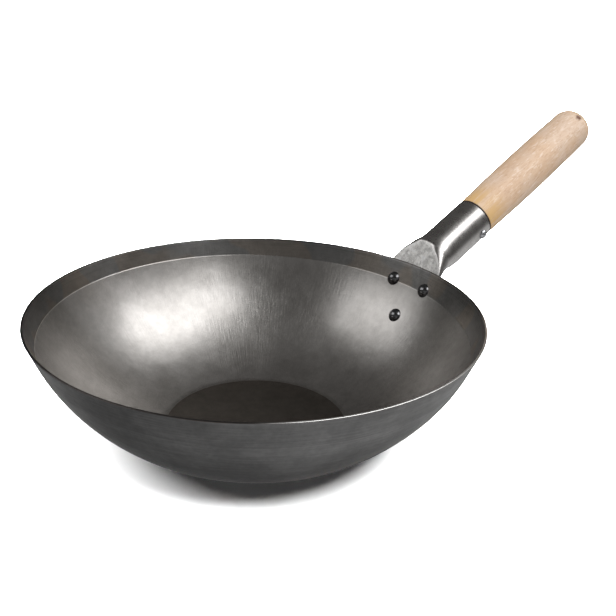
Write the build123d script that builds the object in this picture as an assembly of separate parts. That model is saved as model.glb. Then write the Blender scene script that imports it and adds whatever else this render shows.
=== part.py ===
from build123d import *
import math
import os

# Carbon steel wok: a pressed bowl with a flat base, and a raked handle made of a
# steel tube that is flattened and riveted to the wall, with a turned wooden grip.
# Frame: origin at the centre of the base's underside, +Z up, handle along +X.

# Bowl (mm)
rim_radius = 178.0
bowl_depth = 102.3
bowl_sheet = 1.8
base_radius = 77.0
base_bend = 12.0
crease_inset = 9.7
crease_depth = 18.5
crease_bend = 20.0
wall_bulge = 12.2
rim_round = 0.4

# Socket: the tube that holds the grip, and its flattened end
socket_radius = 19.4
socket_wall = 1.5
socket_reach = 81.6
socket_round_length = 43.0
socket_rake = 27.9
neck_drop = 4.0
neck_least_height = 4.4
plate_gap = 0.15
plate_depth = 58.0
plate_shoulder_depth = 24.0
plate_tip_radius = 15.0
plate_corner_round = 14.0
plate_top_drop = 0.5
plate_side_trim = 1.0
plate_top_round = 6.0
press_rise = 34.0

# The flattening, from the round tube (0) to the neck (1) and into the bowl's wall
flatten_shares = (0.10, 0.27, 0.46, 0.66, 0.84, 0.96, 1.25)
crown_shares = (1.00, 1.00, 0.99, 0.80, 0.63, 0.50, 0.50)
bottom_shares = (0.99, 0.90, 0.68, 0.40, 0.19, 0.12, 0.06)
corner_shares = (2.0, 2.05, 2.2, 2.5, 2.8, 3.0, 3.0)
bow_shares = (0.0, 0.0, 0.1, 0.4, 0.9, 1.1, 1.2)

# Rivets
rivet_shank_radius = 3.0
rivet_head_radius = 6.0
rivet_head_height = 3.9
rivet_tail_radius = 5.2
rivet_tail_height = 1.7
rivet_play = 0.1
rivet_seat = 0.05
rivet_sink = 1.0
rivet_upper_spread = 19.0
rivet_upper_depth = 16.2
rivet_lower_depth = 43.0

# Wooden grip
grip_length = 166.9
grip_shoulder_radius = 19.1
grip_belly_radius = 20.7
grip_end_radius = 19.9
grip_dome_length = 16.5
grip_belly_share = 0.55
dome_fullness_share = 0.55
spigot_length = 32.0
spigot_play = 0.25
spigot_chamfer = 2.0
shoulder_gap = 0.35
shoulder_round = 0.6

# Grip screw
screw_head_radius = 4.1
screw_head_height = 2.2
screw_shank_radius = 1.75
screw_length = 13.0
screw_point_length = 3.0
screw_play = 0.1
screw_seat = 0.12
screw_setback = 10.5
screw_turn = 106.0
screw_slot_width = 0.9
screw_slot_length = 4.0
screw_slot_depth = 0.9
screw_point_share = 0.3

# Cutting tools run this far past what they cut
overrun = 5.0

section_points = 28
round_sections = 6


def rim_height():
    return bowl_depth + bowl_sheet


def wall_frame():
    """Corner points of the inner profile and the directions that leave them."""
    top = rim_height()
    base = Vector(base_radius, 0, bowl_sheet)
    crease = Vector(rim_radius - crease_inset, 0, top - crease_depth)
    chord = crease - base
    lean = math.atan2(chord.Z, chord.X)
    half_turn = 2 * math.atan2(2 * wall_bulge, chord.length)
    foot = lean - half_turn
    head = lean + half_turn
    band = math.atan2(crease_depth, crease_inset)
    for _ in range(6):
        band = math.atan2(crease_depth, crease_inset - bowl_sheet / math.sin(band))
    return base, crease, foot, head, band


def outward(angle):
    """Unit normal on the outside of a profile line that rises at this angle."""
    return Vector(math.sin(angle), 0, -math.cos(angle))


def shifted_corner(point, before, after, distance):
    """Corner of two profile lines after both move outwards by the distance."""
    first = outward(before)
    second = outward(after)
    return point + (first + second) * (distance / (1 + first.dot(second)))


def wall_arc():
    """Centre and radius of the inner wall's arc."""
    base, crease, foot, head, band = wall_frame()
    radius = (crease - base).length / 2 / math.sin((head - foot) / 2)
    return base - outward(foot) * radius, radius


def flat(point):
    """Place of a point in the profile plane."""
    return (point.X, point.Z)


def bowl_mass(distance, rise):
    """Solid inside the surface that lies this far outside the bowl's inner face.

    The rim band goes on in line until this far above the rim.
    """
    base, crease, foot, head, band = wall_frame()
    centre, radius = wall_arc()
    base_corner = shifted_corner(base, 0, foot, distance)
    crease_corner = shifted_corner(crease, head, band, distance)
    middle = centre + outward((foot + head) / 2) * (radius + distance)
    top = rim_height() + rise
    reach = crease_corner.X + (top - crease_corner.Z) / math.tan(band)
    floor = Vector(0, 0, base_corner.Z)
    lip = Vector(reach, 0, top)
    crown = Vector(0, 0, top)
    with BuildPart() as mass:
        with BuildSketch(Plane.XZ) as profile:
            with BuildLine():
                Line(flat(floor), flat(base_corner))
                ThreePointArc(flat(base_corner), flat(middle), flat(crease_corner))
                Polyline(flat(crease_corner), flat(lip), flat(crown), flat(floor))
            make_face()
            foot_bend = profile.vertices().sort_by_distance(flat(base_corner))[0]
            fillet(foot_bend, base_bend + distance)
            crease_turn = profile.vertices().sort_by_distance(flat(crease_corner))[0]
            fillet(crease_turn, crease_bend + distance)
        revolve(axis=Axis.Z)
    return mass.part


def wall_place(depth, distance):
    """Point and wall angle at a depth below the rim, this far outside the inner face."""
    base, crease, foot, head, band = wall_frame()
    level = rim_height() - depth
    if depth < crease_depth:
        radius = crease.X + (level - crease.Z) / math.tan(band)
        angle = band
    else:
        centre, arc_radius = wall_arc()
        angle = math.acos((centre.Z - level) / arc_radius)
        radius = centre.X + arc_radius * math.sin(angle)
    return Vector(radius, 0, level) + outward(angle) * distance, angle


def plate_middle():
    """Distance of the plate's middle layer line from the bowl's inner face."""
    return bowl_sheet + plate_gap + socket_wall


def plate_middle_depth():
    """Height of the plate's inner face over the neck point, square to the tube's axis."""
    base, crease, foot, head, band = wall_frame()
    return socket_wall / math.cos(band - math.radians(socket_rake))


def socket_axis():
    """Direction of the handle, from the bowl outwards."""
    rake = math.radians(socket_rake)
    return Vector(math.cos(rake), 0, math.sin(rake))


def neck_point():
    point, angle = wall_place(neck_drop, plate_middle())
    return point


def mouth_plane():
    """Plane of the socket's mouth: its X runs across, its Y up, its Z outwards."""
    origin = neck_point() + socket_axis() * socket_reach
    return Plane(origin, x_dir=(0, 1, 0), z_dir=socket_axis())


def spread(height):
    """Half width of a flattened section whose sheet keeps its length."""
    return (math.pi * socket_radius - (math.pi / 2 - 1) * height) / 2


def pressed_top(reach):
    """Height above the tube's axis of the pressed face, this far out from the neck."""
    base, crease, foot, head, band = wall_frame()
    return plate_middle_depth() + reach * math.tan(band - math.radians(socket_rake))


def flat_section(plane, half_width, widest, above, below, corner, bow, skin):
    """Closed section of the tube in a plane, this far inside its outer face.

    The widest line's height is over the tube's axis, and the heights above and below
    are from that line. The corner squares the lower half only.
    """
    curve = bow / rim_radius
    points = []
    for i in range(section_points):
        angle = 2 * math.pi * i / section_points
        power = 2 if angle < math.pi else corner
        height = above if angle < math.pi else below
        share_x = math.copysign(abs(math.cos(angle)) ** (2 / power), math.cos(angle))
        share_y = math.copysign(abs(math.sin(angle)) ** (2 / power), math.sin(angle))
        across = (half_width - skin) * share_x
        lift = widest + (height - skin) * share_y + curve * across**2 / 2
        points.append((across, lift))
    with BuildSketch(plane) as section:
        with BuildLine():
            Spline(*points, periodic=True)
        make_face()
    return section.sketch


def neck_sections(skin, lead):
    """Sections from the mouth, or this far before it, along the tube to the neck."""
    axis = socket_axis()
    mouth = mouth_plane().origin
    across = (0, 1, 0)
    sections = []
    for i in range(round_sections):
        along = (socket_round_length + lead) * i / (round_sections - 1) - lead
        plane = Plane(mouth - axis * along, x_dir=across, z_dir=axis)
        radius = socket_radius
        sections.append(flat_section(plane, radius, 0, radius, radius, 2, 0, skin))
    length = socket_reach - socket_round_length
    rows = zip(flatten_shares, crown_shares, bottom_shares, corner_shares, bow_shares)
    for along_share, crown_share, bottom_share, corner, bow in rows:
        along = socket_round_length + length * along_share
        plane = Plane(mouth - axis * along, x_dir=across, z_dir=axis)
        bottom = bottom_share * socket_radius
        top = min(socket_radius, pressed_top(socket_reach - along))
        height = max(top + bottom, neck_least_height)
        half = height / 2
        width = spread(height)
        crown = half / crown_share
        sections.append(flat_section(plane, width, half - bottom, crown, half, corner, bow, skin))
    return sections


def plate_blank():
    """Two layers of the tube's wall, down the bowl's outside in a tongue outline."""
    skin = bowl_mass(bowl_sheet + plate_gap + 2 * socket_wall, 0)
    top = rim_height() - plate_top_drop
    shoulder = rim_height() - plate_shoulder_depth
    tip = rim_height() - plate_depth + plate_tip_radius
    with BuildPart() as tongue:
        with BuildSketch(Plane.YZ) as outline:
            with Locations((0, (top + shoulder) / 2)):
                Rectangle(2 * (spread(2 * socket_wall) - plate_side_trim), top - shoulder)
            with Locations((0, tip)):
                Circle(plate_tip_radius)
            make_hull()
            upper = outline.vertices().filter_by_position(Axis.Y, top - overrun / 2, top + overrun / 2)
            fillet(upper, plate_top_round)
            corners = outline.vertices().filter_by_position(Axis.Y, shoulder - overrun, shoulder + overrun)
            fillet(corners, plate_corner_round)
        extrude(amount=rim_radius + overrun)
    return skin & tongue.part


def tube_hollow():
    """Inside of the tube, which narrows to a slit where the two layers meet."""
    hollow = loft(neck_sections(socket_wall, overrun))
    return hollow - bowl_mass(bowl_sheet + plate_gap + socket_wall, press_rise)


def handle_socket():
    """Round tube, flattened at its inner end into the plate that is riveted to the bowl."""
    reach = rim_radius + socket_reach + socket_radius
    slab = Box(2 * reach, 2 * spread(2 * socket_wall), 2 * reach)
    # The neck's folded sides end at the width of the flat sheet below it
    tube = loft(neck_sections(0, 0)) & slab
    pressed = tube + plate_blank() - bowl_mass(bowl_sheet + plate_gap, press_rise)
    socket = pressed - tube_hollow()
    for place in rivet_places():
        socket = socket - rivet_hole(place)
    return socket - screw_hole()


def wall_plane(depth, aside, distance):
    """Plane on the wall at a depth below the rim: its Z points into the bowl."""
    point, angle = wall_place(depth, distance)
    turn = math.degrees(math.asin(aside / point.X))
    inward = outward(angle) * -1
    return Plane(
        point.rotate(Axis.Z, turn),
        x_dir=Vector(0, 1, 0).rotate(Axis.Z, turn),
        z_dir=inward.rotate(Axis.Z, turn),
    )


def rivet_places():
    """Planes on the bowl's inner face at the three rivets."""
    return [
        wall_plane(rivet_upper_depth, rivet_upper_spread, 0),
        wall_plane(rivet_upper_depth, -rivet_upper_spread, 0),
        wall_plane(rivet_lower_depth, 0, 0),
    ]


def rivet_grip():
    """Thickness of sheet that a rivet holds together."""
    return bowl_sheet + plate_gap + 2 * socket_wall


def rivet_hole(place):
    """Cutter for one rivet's hole, on the plane at the bowl's inner face."""
    reach = rivet_grip() + 2 * overrun
    hole = Circle(rivet_shank_radius + rivet_play)
    return extrude(place.offset(overrun) * hole, amount=-reach)


def dome(radius, height):
    """Solid cap on a flat round face: its flat side lies in the XY plane."""
    with BuildPart() as cap:
        with BuildSketch(Plane.XZ):
            with BuildLine():
                ThreePointArc(*cap_points(radius, height))
                Polyline((0, height), (0, 0), (radius, 0))
            make_face()
        revolve(axis=Axis.Z)
    return cap.part


def cap_points(radius, height):
    """Rim, shoulder and crown of a round cap's outline."""
    ball = (radius**2 + height**2) / (2 * height)
    half = math.asin(radius / ball) / 2
    shoulder = (ball * math.sin(half), height - ball * (1 - math.cos(half)))
    return (radius, 0), shoulder, (0, height)


def rivet(place):
    """One rivet: round head in the bowl, shank, and a low tail outside the plate."""
    grip = rivet_grip()
    sink = rivet_sink
    head = dome(rivet_head_radius, rivet_head_height)
    skirt = extrude(Circle(rivet_head_radius), amount=-sink)
    tail = Rot(180, 0, 0) * dome(rivet_tail_radius, rivet_tail_height)
    collar = extrude(Circle(rivet_tail_radius), amount=sink)
    back = place.offset(-grip)
    # What the bowl's sheet fills round the seat is taken off the head
    room = extrude(
        place.offset(rivet_head_height + overrun) * Circle(rivet_head_radius + overrun),
        amount=-(rivet_head_height + 2 * overrun),
    )
    sheet = room - bowl_mass(-rivet_seat, overrun)
    inside = place * (head + skirt) - sheet
    outside = (back * (tail + collar)) - bowl_mass(grip + rivet_seat, overrun)
    stem = extrude(place.offset(sink) * Circle(rivet_shank_radius), amount=-(grip + 2 * sink))
    return inside + stem + outside


def screw_plane():
    """Plane on the outside of the tube at the grip screw: its Z points outwards."""
    axis = socket_axis()
    centre = mouth_plane().origin - axis * screw_setback
    up = Vector(-axis.Z, 0, axis.X)
    away = up.rotate(Axis((0, 0, 0), axis), screw_turn)
    return Plane(centre + away * socket_radius, x_dir=axis, z_dir=away)


def screw_hole():
    hole = Circle(screw_shank_radius + screw_play)
    return extrude(screw_plane().offset(overrun) * hole, amount=-(socket_radius + overrun))


def grip_screw():
    """Cross-head screw whose round head lies on the tube and whose shank is in the spigot."""
    place = screw_plane()
    head = dome(screw_head_radius, screw_head_height)
    skirt = extrude(Circle(screw_head_radius), amount=-screw_head_height)
    slot = Rectangle(screw_slot_length, screw_slot_width) + Rectangle(screw_slot_width, screw_slot_length)
    recess = extrude(Plane.XY.offset(screw_head_height) * slot, amount=-screw_slot_depth)
    root = (screw_head_height - screw_slot_depth) / 2
    shank = screw_length - screw_point_length
    shaft = extrude(Plane.XY.offset(root) * Circle(screw_shank_radius), amount=-(shank + root))
    point = loft(
        [
            Plane.XY.offset(screw_point_length - screw_length) * Circle(screw_shank_radius),
            Plane.XY.offset(-screw_length) * Circle(screw_shank_radius * screw_point_share),
        ]
    )
    mouth = mouth_plane()
    tube = extrude(mouth * Circle(socket_radius + screw_seat), amount=-socket_round_length)
    seated = place * (head + skirt - recess) - tube
    return seated + place * (shaft + point)


def wood_grip():
    """Turned grip: spigot, shoulder at the mouth, long belly and domed end."""
    start = shoulder_gap
    straight = grip_length - grip_dome_length
    belly = start + (straight - start) * grip_belly_share
    spigot = socket_radius - socket_wall - spigot_play
    with BuildPart() as grip:
        with BuildSketch(Plane.XZ) as profile:
            with BuildLine():
                Polyline(
                    (0, -spigot_length),
                    (spigot - spigot_chamfer, -spigot_length),
                    (spigot, spigot_chamfer - spigot_length),
                    (spigot, start),
                    (grip_shoulder_radius, start),
                )
                ThreePointArc(
                    (grip_shoulder_radius, start),
                    (grip_belly_radius, belly),
                    (grip_end_radius, straight),
                )
                Bezier(
                    (grip_end_radius, straight),
                    (grip_end_radius, straight + grip_dome_length * dome_fullness_share),
                    (grip_end_radius * dome_fullness_share, grip_length),
                    (0, grip_length),
                )
                Line((0, grip_length), (0, -spigot_length))
            make_face()
            edge = profile.vertices().sort_by_distance((grip_shoulder_radius, start))[0]
            fillet(edge, shoulder_round)
        revolve(axis=Axis.Z)
    return mouth_plane() * grip.part - screw_hole()


def bowl():
    """Pressed sheet: flat base, arched wall, crease and straight rim band."""
    shell = bowl_mass(bowl_sheet, 0) - bowl_mass(0, overrun)
    rim = shell.edges().filter_by_position(Axis.Z, rim_height(), rim_height())
    shell = fillet(rim, rim_round)
    for place in rivet_places():
        shell = shell - rivet_hole(place)
    return shell


def main():
    parts = {
        "bowl": bowl(),
        "handle_socket": handle_socket(),
        "rivets": Compound([rivet(place) for place in rivet_places()]),
        "wood_grip": wood_grip(),
        "grip_screw": grip_screw(),
    }
    os.makedirs("parts", exist_ok=True)
    for name, shape in parts.items():
        export_step(shape, f"parts/{name}.step")
        print(name, round(shape.volume), shape.is_valid, len(shape.solids()))


main()
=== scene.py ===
import logging
import math
from dataclasses import dataclass
from enum import Enum
from functools import cached_property, partial, reduce

import bmesh
import bpy
from mathutils import Matrix, Vector


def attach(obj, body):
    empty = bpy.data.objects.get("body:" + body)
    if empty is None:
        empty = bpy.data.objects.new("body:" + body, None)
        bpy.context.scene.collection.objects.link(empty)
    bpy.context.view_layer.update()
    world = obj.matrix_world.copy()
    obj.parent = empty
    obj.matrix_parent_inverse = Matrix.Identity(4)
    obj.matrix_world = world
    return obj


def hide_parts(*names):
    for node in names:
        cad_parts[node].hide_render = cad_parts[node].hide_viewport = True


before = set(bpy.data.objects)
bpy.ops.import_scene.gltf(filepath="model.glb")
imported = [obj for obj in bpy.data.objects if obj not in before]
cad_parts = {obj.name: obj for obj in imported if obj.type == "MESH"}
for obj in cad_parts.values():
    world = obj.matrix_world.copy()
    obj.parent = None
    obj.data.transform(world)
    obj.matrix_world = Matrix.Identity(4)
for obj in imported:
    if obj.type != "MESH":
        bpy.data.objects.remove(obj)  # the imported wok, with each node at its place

log = logging.getLogger("wok")
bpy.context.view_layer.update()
BODY = "root"
WELD = 1e-6
Z_AXIS = Vector((0, 0, 1))
Material = bpy.types.Material
Output = bpy.types.NodeSocket
Input = Output | Vector | float | tuple


class Lit(Enum):
    """What a distant light falls on."""

    FLOOR = "floor"
    WOOD = "wood_grip_turned"


# Helpers


def tint(red: float, green: float, blue: float) -> tuple[float, float, float, float]:
    """Opaque linear colour."""
    return red, green, blue, 1


def new_piece(name: str, mesh: bmesh.types.BMesh, materials: list[Material]) -> bpy.types.Object:
    """Turns a finished bmesh into a smooth-shaded object at the origin.

    Args:
        name: The piece's name.
        mesh: The bmesh, which is freed.
        materials: The materials of its slots, in order.

    Returns:
        The new object, linked to the scene.
    """
    data = bpy.data.meshes.new(name)
    mesh.to_mesh(data)
    mesh.free()
    for material in materials:
        data.materials.append(material)
    data.shade_smooth()
    piece = bpy.data.objects.new(name, data)
    bpy.context.scene.collection.objects.link(piece)
    return piece


def seat(piece: bpy.types.Object, slot: str, *nodes: str) -> None:
    """Lets a piece ride on the wok and stand for CAD nodes.

    Args:
        piece: The piece.
        slot: The name of its finish; not used.
        nodes: The CAD nodes that it replaces.
    """
    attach(piece, BODY)
    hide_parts(*nodes)
    log.info("%s: %d faces, replaces %s", piece.name, len(piece.data.polygons), ", ".join(nodes))


def spun(points: list[Vector], steps: int) -> bmesh.types.BMesh:
    """Spins an outline in the XZ plane round the Z axis.

    Args:
        points: The outline in order.
        steps: Faces round the axis.

    Returns:
        The bmesh, as the spin leaves it.
    """
    mesh = bmesh.new()
    verts = [mesh.verts.new(point) for point in points]
    edges = [mesh.edges.new(pair) for pair in zip(verts, verts[1:])]
    values = {"cent": (0, 0, 0), "axis": (0, 0, 1), "angle": math.tau, "steps": steps, "use_merge": True}
    bmesh.ops.spin(mesh, geom=verts + edges, **values)
    return mesh


def turned(points: list[Vector], steps: int) -> bmesh.types.BMesh:
    """Spins an outline into a closed skin.

    Args:
        points: The outline, from the axis and back to it.
        steps: Faces round the axis.

    Returns:
        The bmesh, merged and with its faces outwards.
    """
    mesh = spun(points, steps)
    close_skin(mesh)
    return mesh


def close_skin(mesh: bmesh.types.BMesh) -> None:
    """Merges doubles and turns the faces outwards."""
    bmesh.ops.remove_doubles(mesh, verts=mesh.verts, dist=WELD)
    bmesh.ops.recalc_face_normals(mesh, faces=mesh.faces)


def arc(centre: Vector, radius: float, start: float, end: float, steps: int) -> list[Vector]:
    """Points on an arc in the XZ plane.

    Args:
        centre: The arc's centre.
        radius: Its radius.
        start: The angle of the first point.
        end: The angle of the last point.
        steps: Runs along the arc.

    Returns:
        The points, both ends included.
    """
    angles = (start + (end - start) * i / steps for i in range(steps + 1))
    return [centre + radius * Vector((math.cos(a), 0, math.sin(a))) for a in angles]


def soft_min(first: float, second: float, reach: float) -> float:
    """Smaller of two values, rounded over where they are within the reach."""
    near = max(reach - abs(first - second), 0) / reach
    return min(first, second) - near * near * reach / 4


def placed(origin: Vector, side: Vector, up: Vector, ahead: Vector) -> Matrix:
    """Matrix that moves a piece to a point and lays its X, Y and Z along three directions."""
    return Matrix.Translation(origin) @ Matrix((side, up, ahead)).transposed().to_4x4()


def smooth_step(value: float) -> float:
    """Eases a value from 0 to 1, held at both ends."""
    held = min(max(value, 0), 1)
    return held * held * (3 - 2 * held)


# The wall


@dataclass(frozen=True)
class Wall:
    """The bowl's profile: flat base, arched wall, crease and straight rim band."""

    rim_radius: float = 0.178
    depth: float = 0.1023
    sheet: float = 0.0018
    base_radius: float = 0.077
    base_bend: float = 0.012
    crease_radius: float = 0.1683
    crease_depth: float = 0.0185
    bulge: float = 0.0122
    crease_lean: tuple = (0.0021, 0.0235, 0)
    band_tries: int = 6

    @cached_property
    def height(self) -> float:
        """Height of the rim over what the bowl stands on."""
        return self.depth + self.sheet

    @cached_property
    def foot(self) -> Vector:
        """Inner corner between base and wall."""
        return Vector((self.base_radius, 0, self.sheet))

    @cached_property
    def crease(self) -> Vector:
        """Inner corner between wall and rim band."""
        return Vector((self.crease_radius, 0, self.height - self.crease_depth))

    @cached_property
    def slopes(self) -> tuple[float, float]:
        """Slopes of the wall.

        Returns:
            The angles at which it leaves the base and reaches the crease.
        """
        chord = self.crease - self.foot
        lean = math.atan2(chord.z, chord.x)
        half = 2 * math.atan2(2 * self.bulge, chord.length)
        return lean - half, lean + half

    @cached_property
    def flat_radius(self) -> float:
        """Radius of the flat part of the base, inside its bend."""
        return self.base_radius - self.base_bend * math.tan(self.slopes[0] / 2)

    @cached_property
    def band(self) -> float:
        """Slope of the rim band.

        Returns:
            The angle at which it rises.
        """
        angle = math.atan2(self.crease_depth, self.rim_radius - self.crease_radius)
        for _ in range(self.band_tries):
            run = self.rim_radius - self.sheet / math.sin(angle) - self.crease_radius
            angle = math.atan2(self.crease_depth, run)
        return angle

    @cached_property
    def sweep(self) -> tuple[Vector, float]:
        """Arc of the inner wall.

        Returns:
            Its centre and radius.
        """
        low, high = self.slopes
        radius = (self.crease - self.foot).length / 2 / math.sin((high - low) / 2)
        return self.foot - self.outward(low) * radius, radius

    @staticmethod
    def outward(angle: float) -> Vector:
        """Unit normal on the outside of a line that rises at this angle."""
        return Vector((math.sin(angle), 0, -math.cos(angle)))

    def radius_at(self, level: float, distance: float) -> float:
        """Radius of the face that lies this far outside the inner one, at a height.

        Args:
            level: Height over what the bowl stands on.
            distance: Distance outside the inner face.

        Returns:
            The radius at that height.
        """
        band = self.crease + self.outward(self.band) * distance
        on_band = band.x + (level - band.z) / math.tan(self.band)
        centre, radius = self.sweep
        fall = min(max((centre.z - level) / (radius + distance), -1), 1)
        on_wall = centre.x + (radius + distance) * math.sin(math.acos(fall))
        return on_band if level > band.z else on_wall

    def place(self, depth: float, distance: float) -> tuple[Vector, float]:
        """Point on the wall at a depth under the rim, and the wall's angle there.

        Args:
            depth: Depth under the rim, on the inner face.
            distance: Distance of the point outside that face.

        Returns:
            The point in the XZ plane and the angle.
        """
        level = self.height - depth
        if depth < self.crease_depth:
            angle = self.band
            radius = self.crease.x + (level - self.crease.z) / math.tan(angle)
        else:
            centre, arc_radius = self.sweep
            angle = math.acos((centre.z - level) / arc_radius)
            radius = centre.x + arc_radius * math.sin(angle)
        return Vector((radius, 0, level)) + self.outward(angle) * distance, angle


WALL = Wall()


def rounded(before: Vector, corner: Vector, after: Vector, radius: float, steps: int) -> list[Vector]:
    """Arc that rounds a corner of an outline in the XZ plane.

    Args:
        before: A point on the line that comes to the corner.
        corner: The sharp corner.
        after: A point on the line that leaves it.
        radius: The arc's radius.
        steps: Runs along the arc.

    Returns:
        The arc's points, from the first line to the second.
    """
    back = (before - corner).normalized()
    ahead = (after - corner).normalized()
    half = back.angle(ahead) / 2
    centre = corner + (back + ahead).normalized() * (radius / math.sin(half))
    start = corner + back * (radius / math.tan(half)) - centre
    end = corner + ahead * (radius / math.tan(half)) - centre
    turn = start.rotation_difference(end)
    axis, angle = turn.to_axis_angle()
    return [centre + Matrix.Rotation(angle * i / steps, 3, axis) @ start for i in range(steps + 1)]


# Finishes


class Graph:
    """A node tree, with short calls to add and join nodes."""

    def __init__(self, name: str, tree: bpy.types.NodeTree | None = None) -> None:
        """Takes a node tree, or starts a material with a Principled shader.

        Args:
            name: The new material's name.
            tree: A tree to work on in place of a new material's.
        """
        if tree is None:
            self.material = bpy.data.materials.new(name)
            self.material.use_nodes = True
            tree = self.material.node_tree
            self.shader = tree.nodes["Principled BSDF"]
        self.tree = tree

    def add(self, kind: str, inputs: dict | None = None, **settings: object) -> bpy.types.Node:
        """Adds a node.

        Args:
            kind: Its type without the ShaderNode prefix.
            inputs: Values or outputs for its sockets, by name or number.
            settings: The node's own properties.

        Returns:
            The new node.
        """
        node = self.tree.nodes.new("ShaderNode" + kind)
        for key, value in settings.items():
            setattr(node, key, value)
        for socket, value in (inputs or {}).items():
            self.set(node.inputs[socket], value)
        return node

    def set(self, socket: Output, value: Input) -> None:
        """Gives a socket a value, or joins an output to it.

        Args:
            socket: The node's own socket.
            value: The value or the output.
        """
        if isinstance(value, Output):
            self.tree.links.new(value, socket)
        else:
            socket.default_value = value

    def finish(self, inputs: dict) -> Material:
        """Sets the shader's sockets.

        Args:
            inputs: Values or outputs by the name of the socket.

        Returns:
            The finished material.
        """
        for socket, value in inputs.items():
            self.set(self.shader.inputs[socket], value)
        return self.material

    def space(self) -> Output:
        """Object coordinates."""
        return self.add("TexCoord").outputs["Object"]

    def mapped(self, vector: Input, **settings: tuple) -> Output:
        """Coordinates after a turn or a scale."""
        return self.add("Mapping", {"Vector": vector, **settings}).outputs["Vector"]

    def part(self, vector: Input, axis: str) -> Output:
        """One coordinate of a vector."""
        return self.add("SeparateXYZ", {0: vector}).outputs[axis]

    def vector(self, operation: str, first: Input, second: Input = (0, 0, 0)) -> Output:
        """Vector from a vector math node."""
        return self.add("VectorMath", {0: first, 1: second}, operation=operation).outputs["Vector"]

    def measure(self, operation: str, first: Input, second: Input = (0, 0, 0)) -> Output:
        """Number from a vector math node."""
        return self.add("VectorMath", {0: first, 1: second}, operation=operation).outputs["Value"]

    def maths(self, operation: str, first: Input, second: Input = 0.0) -> Output:
        """Result of a math node on two values."""
        return self.add("Math", {0: first, 1: second}, operation=operation).outputs[0]

    def times(self, *values: Input) -> Input:
        """Product of values."""
        return reduce(partial(self.maths, "MULTIPLY"), values)

    def shaded(self, colour: Input, *tones: Input) -> Output:
        """Colour times the product of tones."""
        values = {0: colour, "Scale": self.times(*tones)}
        return self.add("VectorMath", values, operation="SCALE").outputs["Vector"]

    def noise(
        self, vector: Input, size: float, detail: float = 3, rough: float = 0.5, warp: float = 0
    ) -> Output:
        """Noise with features of about this size in metres.

        Args:
            vector: Coordinates in metres.
            size: Feature size.
            detail: Octaves.
            rough: Share that each octave keeps.
            warp: Distortion.

        Returns:
            The factor output.
        """
        values = {"Vector": vector, "Scale": 1 / size, "Detail": detail}
        return self.add("TexNoise", values | {"Roughness": rough, "Distortion": warp}).outputs["Fac"]

    def ramp(self, value: Input, low: float, high: float, to_low: float = 0, to_high: float = 1) -> Output:
        """Maps a range of values to another, held at both ends, eased.

        Args:
            value: The value's output.
            low: Start of the source range.
            high: End of the source range.
            to_low: Result at the start.
            to_high: Result at the end.

        Returns:
            The result output.
        """
        values = {"Value": value, "From Min": low, "From Max": high, "To Min": to_low, "To Max": to_high}
        return self.add("MapRange", values, interpolation_type="SMOOTHSTEP").outputs["Result"]

    def mix(self, factor: Input, first: Input, second: Input, blend: str = "MIX") -> Output:
        """Colour mix of two colours by a factor.

        Args:
            factor: Share of the second.
            first: First colour.
            second: Second colour.
            blend: Blend type.

        Returns:
            The colour output.
        """
        node = self.add("Mix", data_type="RGBA", blend_type=blend)
        for socket, value in zip((node.inputs[0], node.inputs[6], node.inputs[7]), (factor, first, second)):
            self.set(socket, value)
        return node.outputs[2]

    def bump(self, height: Input, distance: float, normal: Output | None = None) -> Output:
        """Normal output of a bump node.

        Args:
            height: Height value.
            distance: Depth in metres.
            normal: Normal to start from.

        Returns:
            The normal output.
        """
        node = self.add("Bump", {"Height": height, "Distance": distance})
        if normal is not None:
            self.set(node.inputs["Normal"], normal)
        return node.outputs["Normal"]


def over_crease(graph: Graph, space: Output, drop: float = 0) -> Output:
    """Height over the bowl's tilted crease.

    Args:
        graph: The material's graph.
        space: Object coordinates.
        drop: Distance under the crease from which the height counts.

    Returns:
        The height.
    """
    lift = graph.measure("DOT_PRODUCT", space, WALL.crease_lean)
    level = graph.maths("SUBTRACT", graph.part(space, "Z"), lift)
    return graph.maths("SUBTRACT", level, WALL.height - WALL.crease_depth - drop)


def up_slope(graph: Graph, space: Output, stretch: float) -> Output:
    """Coordinates that change fast round the bowl and slowly up its slope.

    Args:
        graph: The material's graph.
        space: Object coordinates.
        stretch: Change with height.

    Returns:
        The vector output.
    """
    outward = graph.vector("NORMALIZE", graph.vector("MULTIPLY", space, (1, 1, 0)))
    return graph.vector("ADD", outward, graph.vector("MULTIPLY", space, (0, 0, stretch)))


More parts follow.
